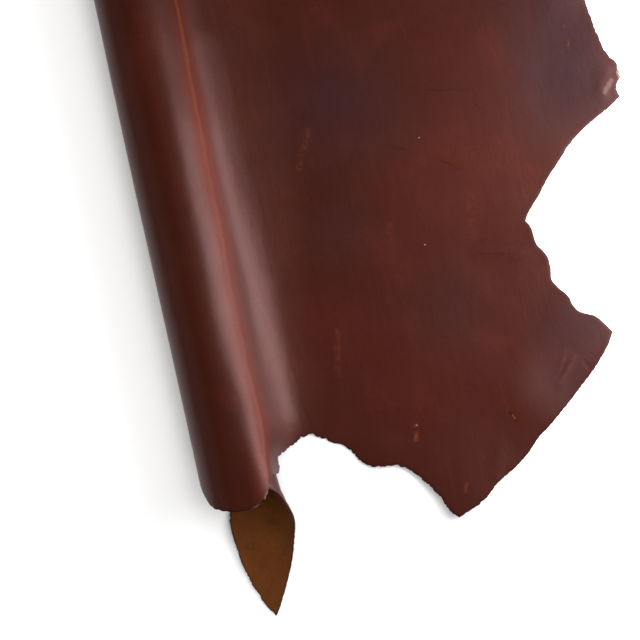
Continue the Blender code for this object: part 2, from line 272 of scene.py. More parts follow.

# Marks that the animal and the tannery left, and among them painted shade, light and sheen: the two
# ends, half width, which finish, strength.
MARKS = [
    ("nick", (0.4483, 0.1643), (0.4549, 0.1515), 0.003, "dark", 0.85),
    ("nick's torn middle", (0.452, 0.159), (0.4546, 0.1535), 0.0014, "raw", 1.0),
    ("healed scar", (0.3169, 0.1722), (0.3125, 0.1516), 0.0042, "orange", 0.24),
    ("scar's tip", (0.3179, 0.1734), (0.3179, 0.1736), 0.0012, "pale", 0.5),
    ("bite", (0.6358, 0.677), (0.6362, 0.6772), 0.0024, "orange", 0.45),
    ("thorn scratch", (0.6383, 0.655), (0.6343, 0.6429), 0.0018, "orange", 0.28),
    ("rubbed curl", (0.6842, 0.588), (0.6721, 0.5748), 0.0055, "pale", 0.09),
    ("rubbed rim", (0.695, 0.5986), (0.6947, 0.5901), 0.0024, "pale", 0.25),
    # On the leg's creases the warm lines are painted light on the ridges, and the dark lines are
    # painted shade in the valleys beside them.
    ("leg crease, high", (0.5441, 0.2327), (0.5397, 0.2211), 0.0034, "warm", 0.2),
    ("leg crease, low", (0.5397, 0.2211), (0.5273, 0.2005), 0.0034, "warm", 0.2),
    ("valley of the leg crease", (0.5446, 0.2169), (0.5278, 0.199), 0.0042, "dark", 0.42),
    ("second leg crease, high", (0.5567, 0.2229), (0.5461, 0.2094), 0.0042, "warm", 0.18),
    ("second leg crease, low", (0.5461, 0.2094), (0.5281, 0.1896), 0.0036, "warm", 0.2),
    ("crease by the leg's edge", (0.5634, 0.2143), (0.568, 0.199), 0.0034, "warm", 0.24),
    ("valley by the leg's edge", (0.5665, 0.2121), (0.5735, 0.2036), 0.0042, "dark", 0.62),
    ("dusky lobe", (0.099, 0.154), (0.1035, 0.162), 0.0075, "dark", 0.2),
    ("pale cut by the notch", (0.0585, 0.1365), (0.043, 0.117), 0.0018, "pale", 0.17),
    ("pale cut at the roll's end", (0.043, 0.117), (0.027, 0.112), 0.0016, "pale", 0.08),
    # Painted sheen and highlight: a faint pale haze on the leg's corner and beside the slope's
    # foot.
    ("bloom on the leg", (0.585, 0.262), (0.52, 0.195), 0.07, "painted_sheen", 0.014),
    ("bloom by the slope's foot", (0.119, 0.185), (0.14, 0.41), 0.032, "painted_sheen", 0.026),
    ("second bloom by the slope", (0.14, 0.45), (0.135, 0.75), 0.032, "painted_sheen", 0.02),
    ("slope streak", (0.2367, 0.3237), (0.224, 0.264), 0.008, "orange", 0.05),
    # A thin line of painted shade in the crease that runs up from the arch.
    ("crease from the arch", (0.1765, 0.191), (0.165, 0.2415), 0.0016, "dark", 0.45),
    ("thigh streak", (0.2352, 0.327), (0.2293, 0.285), 0.005, "orange", 0.06),
    ("flank streak", (0.34, 0.4564), (0.3351, 0.4331), 0.005, "orange", 0.07),
    ("loin streak", (0.255, 0.6089), (0.2316, 0.5595), 0.006, "orange", 0.08),
    ("waist streak", (0.4567, 0.473), (0.4505, 0.417), 0.009, "orange", 0.05),
    ("leg streak", (0.37, 0.08), (0.365, 0.069), 0.0034, "orange", 0.13),
    # Wrinkles drawn as dark lines: painted shade in them, over the dents they make in the grain.
    ("wrinkle on the rump", (0.3547, 0.5663), (0.382, 0.5534), 0.0012, "dark", 0.75),
    ("wrinkle on the flank", (0.4885, 0.5966), (0.5062, 0.5785), 0.0012, "dark", 0.6),
    ("wrinkle by the waist", (0.4271, 0.5295), (0.4516, 0.51), 0.0013, "dark", 0.6),
    ("long wrinkle", (0.4269, 0.6297), (0.4885, 0.6166), 0.0014, "dark", 0.5),
    ("waist wrinkle", (0.4545, 0.3891), (0.5093, 0.3775), 0.0014, "dark", 0.5),
    ("salt stain", (0.3818, 0.4175), (0.3822, 0.4175), 0.0011, "pale", 0.5),
    ("second salt stain", (0.4047, 0.5657), (0.4051, 0.5657), 0.0011, "pale", 0.45),
    ("rib scratch", (0.49, 0.93), (0.523, 0.99), 0.0018, "orange", 0.55),
    ("shoulder scratch", (0.35, 1.33), (0.398, 1.41), 0.002, "orange", 0.6),
    ("foreleg scratch", (0.685, 1.52), (0.708, 1.56), 0.002, "orange", 0.55),
    # Painted shade in the neck's wrinkles.
    ("neck wrinkle", (0.23, 1.9), (0.38, 1.925), 0.0016, "dark", 0.55),
    ("second neck wrinkle", (0.2, 2.0), (0.36, 2.02), 0.0016, "dark", 0.55),
    ("third neck wrinkle", (0.02, 1.97), (0.14, 1.982), 0.0016, "dark", 0.45),
]


# The cut edge's raggedness: tears a centimetre long, and small bites with points between.
TEAR_LENGTH = 0.010
BITE_LENGTH = 0.0042
BITE_SHARE = 1.8
BITE_LEVEL = 0.3
BITE_SLICE = 0.3  # the height at which the bites' noise is taken
TEAR_NOISE = (0.9, 2.0, 3)  # how finer tears fade, how much finer each is, how many
HAIR_LENGTH = 0.0042
HAIR_SHARE = 0.6  # how much of the cut rows' standing out is hairs
EDGE_ROUNDING = 0.0003  # how much the grain side's corner is rubbed down
CUT_ROWS = ((0.35, 0.00020), (0.75, 0.00012))  # share of the depth, stand out

# The net of places inside the outline: rows that follow the edge (depth, every how many
# points), then rows along the hide with columns across it (start, end, step).
EDGE_ROWS = ((0.0013, 1), (0.0048, 2))
NET_ROWS_NEAR = 0.008
NET_ROWS_FAR = 0.015
NEAR_PART_TO = 0.95
NET_COLUMNS = ((-0.346, -0.130, 0.0085), (-0.130, 0.190, 0.0050), (0.190, 0.770, 0.0100))
NET_TO_EDGE = 0.0075
EDGE_ROW_CLEAR = 0.85  # a row's place stays if it is at least this share of its depth inside
KEEP_INSIDE = 1  # the triangulation keeps only what the outline holds
SAME_PLACE = 0.000001
CUT_EDGE_FINISH = 2  # the grain side's finish is 0, the flesh side's 1

# The flat pattern's layout: both sides next to each other in a square.
PATTERN_LEFT = -0.368
PATTERN_LOW = -0.056
PATTERN_APART = 1.150
PATTERN_SIZE = 2.31

# The stage.
FLOOR_WIDTH = 60.0
WINDOW_LENGTH = 0.64
WINDOW_HEIGHT = 0.615
WINDOW_PLACE = (0.546, -0.630, 0.350)
WINDOW_TARGET = (-0.245, -0.630, -0.262)
WINDOW_COLOUR = (1.0, 0.985, 1.0)
REFLECTOR_LENGTH = 1.30
REFLECTOR_HEIGHT = 0.60
REFLECTOR_PLACE = (-1.35, -0.62, 0.72)
REFLECTOR_TARGET = (-0.36, -0.62, 0.05)
REFLECTOR_POWER = 1.6
REFLECTOR_COLOUR = (1.0, 0.86, 0.72)
FILL_ANGLE = 0.90
FILLS = (
    ("key_on_the_belly_side", (1.0, 0.15, 1.2), 1.36),
    ("fill_at_the_neck", (0.0, 1.0, 1.0), 1.63),
    ("fill_at_the_butt", (0.0, -1.0, 1.0), 1.63),
    ("fill_at_the_back", (-1.0, 0.0, 0.8), 0.20),
)
ROOM_LIGHT = 0.02
CAMERA_FROM_RIGHT = 0.54837
CAMERA_FROM_TAIL = 0.39122
CAMERA_TURN = -0.20909
CAMERA_SENSOR = 36.0
CAMERA_SEES_TO = 100.0


def linear(hex_colour):
    """Turn an sRGB hex colour into linear red, green and blue."""
    shares = [int(hex_colour[start:start + 2], 16) / 255.0 for start in (1, 3, 5)]
    return tuple(s / 12.92 if s <= 0.04045 else ((s + 0.055) / 1.055)**2.4 for s in shares)


# Full-grain pull-up leather: aniline dyed red-brown, then stuffed with dark oil and wax.
WAX_TINT = linear("#FFCCC8")
GRAIN_BROWN = linear("#33120B")
GRAIN_DEEP = linear("#2E100A")
GRAIN_RED = linear("#40170D")
# A grey-purple for the dye's duskier patches, also used as painted sheen by the belly-side edge.
DUSK_AND_SHEEN_GREY = linear("#26171A")
PULL_UP_ORANGE = linear("#823D1A")
# A warm red for the pull-up band, also used as painted highlight: over the slope's highlights and
# on the lit ridges of the leg's creases.
PULL_UP_AND_HIGHLIGHT_WARM = linear("#5F2415")
SALT_PALE = linear("#C9A890")
PAINTED_SHEEN_PALE = linear("#C49494")  # painted sheen: a faint pale pink-grey haze laid on the grain where a lamp's reflection would fall
# Near-black for the dark rim, the wax-soaked cut edge and nicks, and also as painted shade in
# wrinkles and crease valleys.
DARK_EDGE_AND_CREASE_SHADE = linear("#170B09")
# The flesh side: the same dye on open fibre, which takes it tan.
FLESH_TAN = linear("#4C270B")
FLESH_DEEP = linear("#311704")
FLESH_PALE = linear("#5E3818")
# The cut edge: raw fibre between the dark grain layer and the flesh.
FIBRE_BROWN = linear("#4A2A1A")
FLOOR_WHITE = linear("#EDEDED")

# The finishes' noise patterns: how many millimetres wide a spot is, or how many across, along
# and through the hide, then the noise's detail, roughness and distortion.
GRAIN_PATTERNS = {
    "cloud": (170, 5.0, 0.6, 0.0),  # the dye's clouds are a hand or two wide
    "red cloud": (95, 4.0, 0.55, 0.4),
    "streak": ((11, 150, 1000), 3.0, 0.5, 0.0),  # the dye's streaks run with the hide's length
    "wander": (24, 3.0, 0.5, 0.0),
    "ridge": (34, 4.0, 0.5, 1.2),  # wrinkles 15 mm apart
    "spots": (9, 3.0, 0.5, 0.0),
    "mottle": (4.5, 4.0, 0.65, 0.0),
    "ripple": ((13, 30, 1000), 2.0, 0.5, 0.0),
    "gloss": (60, 4.0, 0.5, 0.0),
}
FLESH_PATTERNS = {
    "cloud": (38, 5.0, 0.6, 0.0),
    "fibre": ((5.0, 1.2, 1.2), 4.0, 0.7, 1.5),  # the lie of the nap
    "nap": (2.4, 4.0, 0.7, 0.0),
}
# Soft masks cut from a pattern, or from how far the edge is: from where to where in it, and how
# strong the mask is at those two.
GRAIN_MASKS = {
    "deep": ("cloud", 0.46, 0.68, 0.0, 0.6),
    "red": ("red cloud", 0.50, 0.72, 0.0, 0.55),
    "red streak": ("streak", 0.56, 0.80, 0.0, 0.5),
    "dark streak": ("streak", 0.42, 0.22, 0.0, 0.4),
    "loose skin": ("red cloud", 0.52, 0.66, 0.0, 1.0),
    # Wax moves out of a scratch in spots, so an orange one comes and goes along its length.
    "waxy spots": ("spots", 0.38, 0.62, 0.15, 1.25),
    # Handling leaves the last centimetre of the sheet a little duller, and its rim dark.
    "near the edge": ("edge", 0.001, 0.013, 0.30, 0.0),
    "rim": ("edge", 0.0004, 0.0024, 0.85, 0.0),
}
FLESH_MASKS = {
    "deep": ("cloud", 0.50, 0.70, 0.0, 0.55),
    "pale": ("cloud", 0.48, 0.30, 0.0, 0.25),
    "rim": ("edge", 0.0004, 0.0022, 0.70, 0.0),
}
# How far from the pull-up line it and the warm band round it fade in and out, the back's side
# first, and how far the line strays.
LINE_EDGES = (-0.0075, -0.0008, 0.0010, 0.0040)
BAND_EDGES = (-0.030, -0.008, 0.007, 0.030)
LINE_DRIFT = 0.0016
MARK_COLOURS = {
    "dark": DARK_EDGE_AND_CREASE_SHADE, "raw": FLESH_PALE, "orange": PULL_UP_ORANGE, "pale": SALT_PALE,
    "warm": PULL_UP_AND_HIGHLIGHT_WARM, "painted_sheen": PAINTED_SHEEN_PALE,
}
MARK_CORE = 0.25  # a mark is at full strength in this share of its half width
MARK_WOBBLE = 0.0045  # how wide a band a mark's edge strays in
HUNDREDTH = 0.00001  # a hundredth of a millimetre, which the finishes' relief is counted in
SOFT = {"interpolation_type": "SMOOTHSTEP"}  # a mask with no hard edge


def smooth_step(low, high, value):
    """Rise from 0 at low to 1 at high, level at both ends."""
    share = np.clip((value - low) / (high - low), 0.0, 1.0)
    return share * share * (3.0 - 2.0 * share)


def fading(reach, away):
    """Fall from 1 to 0 over a reach, level at both ends."""
    return 1.0 - smooth_step(0.0, reach, away)


def smooth_curve(points, start_direction=None):
    """Sample the cubic spline through the points; it may leave the first along a direction."""
    points = np.array(points, dtype=float)
    spans = np.linalg.norm(np.diff(points, axis=0), axis=1)
    slopes = np.diff(points, axis=0) / spans[:, None]
    count = len(points)
    matrix = np.eye(count)
    bends = np.zeros((count, 2))
    if start_direction is not None:
        matrix[0, 0:2] = 2.0 * spans[0], spans[0]
        bends[0] = 6.0 * (slopes[0] - np.array(start_direction))
    for k in range(1, count - 1):
        matrix[k, k - 1:k + 2] = spans[k - 1], 2.0 * (spans[k - 1] + spans[k]), spans[k]
        bends[k] = 6.0 * (slopes[k] - slopes[k - 1])
    bends = np.linalg.solve(matrix, bends)
    ahead = np.linspace(0.0, 1.0, SAMPLES_PER_SPAN, endpoint=False)[:, None]
    back = 1.0 - ahead
    pieces = []
    for k in range(count - 1):
        bow = (back**3 - back) * bends[k] + (ahead**3 - ahead) * bends[k + 1]
        pieces.append(back * points[k] + ahead * points[k + 1] + bow * spans[k]**2 / 6.0)
    return np.vstack(pieces + [points[-1:]])


def distances_along(curve):
    """Return how far along a sampled curve each of its points lies."""
    steps = np.linalg.norm(np.diff(curve, axis=0), axis=1)
    return np.concatenate([[0.0], np.cumsum(steps)])


def blend(columns, places, along):
    """Blend a row's columns, which hold at the given places along the roll."""
    columns = np.array(columns)
    value = columns[0]
    for k in range(len(places) - 1):
        share = smooth_step(places[k], places[k + 1], along)
        value = value + share * (columns[k + 1] - columns[k])
    return value


def section_at(along, thickness):
    """Return the roll's section at a place along it, from the slope's foot to the inner edge."""
    points = [blend(columns, SLOPE_ALONG, along) for _, columns in SLOPE]
    points += [blend(columns, OUTER_ALONG, along) for _, columns in OUTER_TURN]
    points += [blend(columns, UNDER_ALONG, along) for _, columns in UNDER_TURN]
    points += [np.array(point) for _, point in INNER_TURN]
    curve = smooth_curve(points, start_direction=(-1.0, 0.0))
    lowest = np.where(curve[:, 0] > points[1][0], 0.0, thickness)
    curve[:, 1] = np.maximum(curve[:, 1], lowest)
    return curve


def distance_to_line(across, along, start, end):
    """Return how far places are from the straight line between two places."""
    run = np.array(end) - np.array(start)
    share = ((across - start[0]) * run[0] + (along - start[1]) * run[1]) / (run @ run)
    share = np.clip(share, 0.0, 1.0)
    return np.hypot(across - start[0] - share * run[0], along - start[1] - share * run[1])


def aimless_wave(across, along, length, seed):
    """Return a smooth rise and fall with no direction, between about -1 and 1."""
    chance = np.random.default_rng(seed)
    total = np.zeros_like(across)
    for _ in range(WAVES_ADDED):
        turn = chance.uniform(0.0, np.pi)
        phase = chance.uniform(0.0, 2.0 * np.pi)
        waves = 2.0 * np.pi / (length * chance.uniform(*WAVE_LENGTHS))
        total += np.sin(waves * (across * np.cos(turn) + along * np.sin(turn)) + phase)
    return total / WAVES_HIGHEST


class BentSheet:
    """The shape of the bent hide: where each place on the flat sheet lies in the frame."""

    def __init__(self, thickness, relief):
        """Work out the roll's sections and where the drawn sheet lies in the frame."""
        self.relief = relief
        self.rows = np.arange(ALONG_FROM, ALONG_TO + ROW_STEP, ROW_STEP)
        sections = [section_at(along, thickness) for along in self.rows]
        lengths = [distances_along(section) for section in sections]
        self.winds = np.arange(0.0, max(wound[-1] for wound in lengths), WIND_STEP)
        self.feet = np.array([section[0, 0] for section in sections])
        self.shapes = np.array([
            [np.interp(self.winds, wound, section[:, side]) for side in (0, 1)]
            for section, wound in zip(sections, lengths)
        ])
        low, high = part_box(CAD_NODE)
        self.shift = np.array([high[0] - RIGHT_SIDE_ACROSS, low[1] - TAIL_TIP_ALONG, 0.0])

    def foot_at(self, along):
        """Return where the slope's foot is across the hide."""
        return np.interp(along, self.rows, self.feet)

    def smooth_places(self, across, along):
        """Return places on the flesh side with no relief, in the drawn frame."""
        wound = self.foot_at(along) - across
        row = np.clip((along - self.rows[0]) / ROW_STEP, 0.0, len(self.rows) - SHORT_OF_LAST)
        column = np.clip(wound / WIND_STEP, 0.0, len(self.winds) - SHORT_OF_LAST)
        low_row, low_column = row.astype(int), column.astype(int)
        up, round_ = row - low_row, column - low_column
        bent = []
        for side in (0, 1):
            shape = self.shapes[:, side]
            near, far = [
                shape[line, low_column] * (1 - round_) + shape[line, low_column + 1] * round_
                for line in (low_row, low_row + 1)
            ]
            bent.append(near * (1 - up) + far * up)
        height = np.zeros_like(across)
        for _, place, top, reach in LIFTS:
            away = np.hypot(across - place[0], along - place[1])
            height += top * fading(reach, away)
        flat = wound <= 0.0
        x = np.where(flat, across, bent[0])
        z = np.where(flat, height, bent[1])
        return np.column_stack([x, along, z])

    def normals_of(self, shape, across, along):
        """Return the grain side's direction of a shape, from places a little to each side."""
        over = shape(across + NORMAL_REACH, along) - shape(across - NORMAL_REACH, along)
        up = shape(across, along + NORMAL_REACH) - shape(across, along - NORMAL_REACH)
        direction = np.cross(over, up)
        return direction / np.linalg.norm(direction, axis=1)[:, None]

    def relief_at(self, across, along):
        """Return how far the hide stands off its smooth shape, on the grain side's side."""
        top, length, seed = FLAT_WAVES
        height = top * (FLAT_WAVES_RAISED + aimless_wave(across, along, length, seed))
        for _, place, top, reach in SWELLS:
            away = np.hypot(across - place[0], along - place[1])
            height += top * fading(reach, away)
        for _, start, end, half_width, top in CREASES:
            away = distance_to_line(across, along, start, end)
            height += top * fading(half_width, away)
        past_foot = across - self.foot_at(along)
        on_roll = smooth_step(0.0, FOOT_FADE, -past_foot)
        top, length, seed = ROLL_WAVES
        top = top * smooth_step(*TOP_FADE, across)
        on_roll_height = top * aimless_wave(across, along, length, seed)
        return self.relief * (height * (1.0 - on_roll) + on_roll_height * on_roll)

    def drawn_places(self, across, along):
        """Return places on the flesh side, relief and all, in the drawn frame."""
        base = self.smooth_places(across, along)
        normals = self.normals_of(self.smooth_places, across, along)
        return base + normals * self.relief_at(across, along)[:, None]

    def places(self, across, along):
        """Return places on the flesh side in the frame, and the grain side's direction there."""
        places = self.drawn_places(across, along)
        return places + self.shift, self.normals_of(self.drawn_places, across, along)

    def across_at_x(self, x, along):
        """Return which place across the hide lies at the given x on the slope."""
        row = int(round((along - self.rows[0]) / ROW_STEP))
        steps = int(SLOPE_AND_CROWN / WIND_STEP)
        slope = self.shapes[row, 0, :steps]
        return self.feet[row] - np.interp(-x, -slope, self.winds[:steps])


def outward_of(ring):
    """Return the direction out of the sheet at each place of a closed ring."""
    run = np.roll(ring, -2, axis=0) - np.roll(ring, 2, axis=0)
    run /= np.linalg.norm(run, axis=1)[:, None]
    return np.column_stack([run[:, 1], -run[:, 0]])


def cut_edge_ring(edge_step, raggedness):
    """Return the sheet's ragged outline as a closed ring of places."""
    ring, rough = [], []
    start = OUTLINE[-1][2][-1]
    for _, roughness, points in OUTLINE:
        curve = smooth_curve([start, *points])
        start = points[-1]
        lengths = distances_along(curve)
        count = int(np.ceil(lengths[-1] / edge_step))
        for place in np.linspace(0.0, lengths[-1], count, endpoint=False):
            ring.append([np.interp(place, lengths, curve[:, side]) for side in (0, 1)])
            rough.append(roughness)
    ring = np.array(ring)
    tears = []
    for (across, along), share in zip(ring, rough):
        tear = noise.fractal(Vector((across, along, 0.0)) / TEAR_LENGTH, *TEAR_NOISE)
        bite = abs(noise.noise(Vector((across, along, BITE_SLICE)) / BITE_LENGTH))
        tears.append(share * (tear + BITE_SHARE * (BITE_LEVEL - bite)))
    return ring + outward_of(ring) * (raggedness * np.array(tears))[:, None]


def edge_tree(ring):
    """Return a search tree of the outline's places."""
    tree = kdtree.KDTree(len(ring))
    for index, (across, along) in enumerate(ring):
        tree.insert((across, along, 0.0), index)
    tree.balance()
    return tree


def inner_places(ring, tree):
    """Return the places inside the outline: rows that follow it, then a staggered net."""
    outward = outward_of(ring)
    kept = []
    for depth, every in EDGE_ROWS:
        row = (ring - outward * depth)[::every]
        kept += [p for p in row if tree.find((*p, 0.0))[2] > EDGE_ROW_CLEAR * depth]
    along = ALONG_FROM
    number = 0
    while along < ALONG_TO:
        number += 1
        along += NET_ROWS_NEAR if along < NEAR_PART_TO else NET_ROWS_FAR
        for start, end, step in NET_COLUMNS:
            for across in np.arange(start + (number % 2) * step / 2.0, end, step):
                _, index, away = tree.find((across, along, 0.0))
                inside = (ring[index] - (across, along)) @ outward[index] > 0.0
                if inside and away > NET_TO_EDGE:
                    kept.append(np.array((across, along)))
    return np.array(kept)


def triangles_of(ring, inner):
    """Return all places, the triangles between them and which places are the outline's."""
    places = np.vstack([ring, inner])
    loop = list(range(len(ring)))
    made = delaunay_2d_cdt([Vector(p) for p in places], [], [loop], KEEP_INSIDE, SAME_PLACE)
    old_to_new = {}
    for new, olds in enumerate(made[3]):
        for old in olds:
            old_to_new[old] = new
    rim = np.array([old_to_new[k] for k in loop])
    return np.array([p[:] for p in made[0]]), np.array([t[:] for t in made[2]]), rim


def store_fields(mesh, fields):
    """Store numbers or vectors for each vertex, under the names that the finishes read."""
    for name, values in fields.items():
        values = np.asarray(values, dtype=np.float32)
        kind, key = ("FLOAT", "value") if values.ndim == 1 else ("FLOAT_VECTOR", "vector")
        mesh.attributes.new(name, kind, "POINT").data.foreach_set(key, values.ravel())


def pull_up_at(sheet, places):
    """Return, for each place, how far it is from the pull-up line and how strong both bands are."""
    along, x, sharp, warm = np.array(PULL_UP_LINE).T
    line = [sheet.across_at_x(np.interp(row, along, x), row) for row in sheet.rows]
    away = places[:, 0] - np.interp(places[:, 1], sheet.rows, line)
    strengths = [np.interp(places[:, 1], along, strength) for strength in (sharp, warm)]
    return np.column_stack([away, *strengths])


def tones_at(places):
    """Return how red and how dusky the grain side is painted at each place."""
    tones = np.zeros((len(places), 3))
    for _, centre, reach, red, dusk in TONES:
        away = np.hypot(places[:, 0] - centre[0], places[:, 1] - centre[1])
        share = fading(reach, away)
        tones[:, 0] += red * share
        tones[:, 1] += dusk * share
    return np.clip(tones, 0.0, 1.0)


def cut_edge_rows(ring, flesh, normals, thickness):
    """Return the cut edge's rows of corners from the grain side down, and their flat places."""
    run = np.roll(flesh, -1, axis=0) - np.roll(flesh, 1, axis=0)
    out = np.cross(run, normals)
    out /= np.linalg.norm(out, axis=1)[:, None]
    corners, places = [], []
    for share, bulge in CUT_ROWS:
        hairs = np.array([noise.noise(Vector((*p, share)) / HAIR_LENGTH) for p in ring])
        stand = bulge * (1.0 + HAIR_SHARE * hairs)
        height = thickness * (1.0 - share)
        corners.append(flesh + normals * height + out * stand[:, None])
        places.append(ring + outward_of(ring) * thickness * share)
    return corners, places


def cut_edge_strip(upper, lower, over, under):
    """Return a strip of the cut edge between two loops: its faces, and their flat places."""
    faces = [np.roll(upper, -1), upper, lower, np.roll(lower, -1)]
    spots = [np.roll(over, -1, axis=0), over, under, np.roll(under, -1, axis=0)]
    return np.column_stack(faces), np.stack(spots, axis=1)


def lay_out_pattern(mesh, spots):
    """Use the flat places of the faces' corners as the mesh's flat pattern."""
    spots = np.vstack([group.reshape(-1, 2) for group in spots])
    spots = (spots - (PATTERN_LEFT, PATTERN_LOW)) / PATTERN_SIZE
    pattern = mesh.uv_layers.new(name="OFBake")
    pattern.data.foreach_set("uv", spots.astype(np.float32).ravel())


def build_sheet_mesh(name, settings):
    """Cut the sheet, bend it and give it its thickness, its two sides and its cut edge."""
    thickness = settings.thickness
    sheet = BentSheet(thickness, settings.relief)
    ring = cut_edge_ring(settings.edge_step, settings.raggedness)
    tree = edge_tree(ring)
    places, triangles, rim = triangles_of(ring, inner_places(ring, tree))
    count, around = len(places), len(rim)
    flesh, normals = sheet.places(places[:, 0], places[:, 1])
    depth_of_grain = np.full(count, thickness)
    depth_of_grain[rim] -= EDGE_ROUNDING
    grain = flesh + normals * depth_of_grain[:, None]
    row_corners, row_places = cut_edge_rows(ring, flesh[rim], normals[rim], thickness)

    rows = [2 * count + k * around + np.arange(around) for k in range(len(CUT_ROWS))]
    loops = [rim, *rows, count + rim]
    loop_places = [ring, *row_places, ring + outward_of(ring) * thickness]
    faces = [triangles, count + triangles[:, ::-1]]
    spots = [places[triangles], places[triangles[:, ::-1]] + (PATTERN_APART, 0.0)]
    for k in range(len(loops) - 1):
        strip, strip_spots = cut_edge_strip(*loops[k:k + 2], *loop_places[k:k + 2])
        faces.append(strip)
        spots.append(strip_spots)

    mesh = bpy.data.meshes.new(name)
    corners = np.vstack([grain, flesh, *row_corners])
    mesh.from_pydata(corners.tolist(), [], [face for group in faces for face in group.tolist()])
    finishes = [np.full(len(group), min(k, CUT_EDGE_FINISH)) for k, group in enumerate(faces)]
    mesh.polygons.foreach_set("material_index", np.concatenate(finishes).astype(np.int32))
    mesh.shade_smooth()
    lay_out_pattern(mesh, spots)

    all_places = np.vstack([places, places, *row_places])
    depths = [np.zeros(count), np.ones(count), *(np.full(around, share) for share, _ in CUT_ROWS)]
    depths = np.concatenate(depths)
    edge = [tree.find((*p, 0.0))[2] for p in places]
    store_fields(mesh, {
        "flat": np.column_stack([all_places, depths * thickness]),
        "depth": depths,
        "edge": np.concatenate([edge, edge, np.zeros(around * len(CUT_ROWS))]),
        "pull_up": pull_up_at(sheet, all_places),
        "tone": tones_at(all_places),
    })
    keep_corner_sharp(mesh, [rim, count + rim])
    mesh.update()
    return mesh


def keep_corner_sharp(mesh, loops):
    """Mark the closed loops of edges where the cut edge meets the two sides as sharp."""
    ends = np.empty(2 * len(mesh.edges), dtype=np.int64)
    mesh.edges.foreach_get("vertices", ends)
    ends = np.sort(ends.reshape(-1, 2), axis=1)
    keys = ends[:, 0] * len(mesh.vertices) + ends[:, 1]
    wanted = []
    for loop in loops:
        pairs = np.sort(np.column_stack([loop, np.roll(loop, -1)]), axis=1)
        wanted.append(pairs[:, 0] * len(mesh.vertices) + pairs[:, 1])
    mesh.edges.foreach_set("use_edge_sharp", np.isin(keys, np.concatenate(wanted)))


def add_node(tree, kind, inputs, output=0, **settings):
    """Add a node with its settings, fill or link its sockets and return one of its outputs."""
    node = tree.nodes.new("ShaderNode" + kind)
    for name, value in settings.items():
        setattr(node, name, value)
    for socket, value in inputs.items():
        if isinstance(value, bpy.types.NodeSocket):
            tree.links.new(value, node.inputs[socket])
        elif isinstance(value, tuple) and node.inputs[socket].type == "RGBA":
            node.inputs[socket].default_value = (*value, 1.0)
        else:
            node.inputs[socket].default_value = value
    return node.outputs[output]


def per_metre(millimetres):
    """Return how many spots of a pattern lie on a metre if one is this many millimetres."""
    return 1000.0 / millimetres


def new_finish(name):
    """Return a new material and its node tree, with nothing in it."""
    material = bpy.data.materials.new(name)
    material.use_nodes = True
    material.node_tree.nodes.clear()
    return material, material.node_tree


def add_output(tree, shader):
    """Link the finished shader to the material's output."""
    output = tree.nodes.new("ShaderNodeOutputMaterial")
    tree.links.new(shader, output.inputs["Surface"])


def draw_patterns(tree, place, fields, patterns, masks):
    """Add a finish's noise patterns to its fields, then the soft masks cut from the fields."""
    for name, (size, detail, roughness, distortion) in patterns.items():
        spread, scale = place, 1.0
        if isinstance(size, tuple):
            each_way = tuple(per_metre(millimetres) for millimetres in size)
            spread = add_node(tree, "VectorMath", {0: place, 1: each_way}, operation="MULTIPLY")
        else:
            scale = per_metre(size)
        fields[name] = add_node(tree, "TexNoise", {
            "Vector": spread, "Scale": scale, "Detail": detail, "Roughness": roughness,
            "Distortion": distortion,
        })
    for name, (field, start, end, first, last) in masks.items():
        edges = {0: fields[field], 1: start, 2: end, 3: first, 4: last}
        fields[name] = add_node(tree, "MapRange", edges, **SOFT)


def paint_layers(tree, colour, layers):
    """Lay colours over each other, each as strong as its mask, and return the result."""
    for over, mask in layers:
        colour = add_node(tree, "Mix", {0: mask, 6: colour, 7: over}, 2, data_type="RGBA")
    return colour


def raise_relief(tree, heights):
    """Return the normal of fields stacked up, each so many hundredths of a millimetre high."""
    total = 0.0
    for field, height in heights:
        total = add_node(tree, "Math", {0: field, 1: height, 2: total}, operation="MULTIPLY_ADD")
    return add_node(tree, "Bump", {"Height": total, "Distance": HUNDREDTH, "Strength": 1.0})


def mark_mask(tree, place, start, end, half_width, strength):
    """Return the mask of one scratch, scar or speck between two places on the flat hide."""
    run = Vector((*end, 0.0)) - Vector((*start, 0.0))
    from_start = add_node(tree, "VectorMath", {0: place, 1: (*start, 0.0)}, operation="SUBTRACT")
    share = add_node(tree, "VectorMath", {0: from_start, 1: tuple(run / run.length_squared)}, 1,
                     operation="DOT_PRODUCT")
    share = add_node(tree, "Clamp", {0: share})
    nearest = add_node(tree, "VectorMath", {0: tuple(run), "Scale": share}, operation="SCALE")
    away = add_node(tree, "VectorMath", {0: from_start, 1: nearest}, 1, operation="DISTANCE")
    edges = {0: away, 1: MARK_CORE * half_width, 2: half_width, 3: strength, 4: 0.0}
    return add_node(tree, "MapRange", edges, **SOFT)


def mark_layers(tree, place, spots):
    """Return the marks' colours with their masks, and where the dark ones dent the grain."""
    layers = []
    dents = 0.0
    for _, start, end, half_width, finish, strength in MARKS:
        mask = mark_mask(tree, place, start, end, half_width, strength)
        if finish == "orange":
            mask = add_node(tree, "Math", {0: mask, 1: spots}, operation="MULTIPLY")
        if finish == "dark":
            dents = add_node(tree, "Math", {0: dents, 1: mask}, operation="MAXIMUM")
        layers.append((MARK_COLOURS[finish], mask))
    return layers, dents


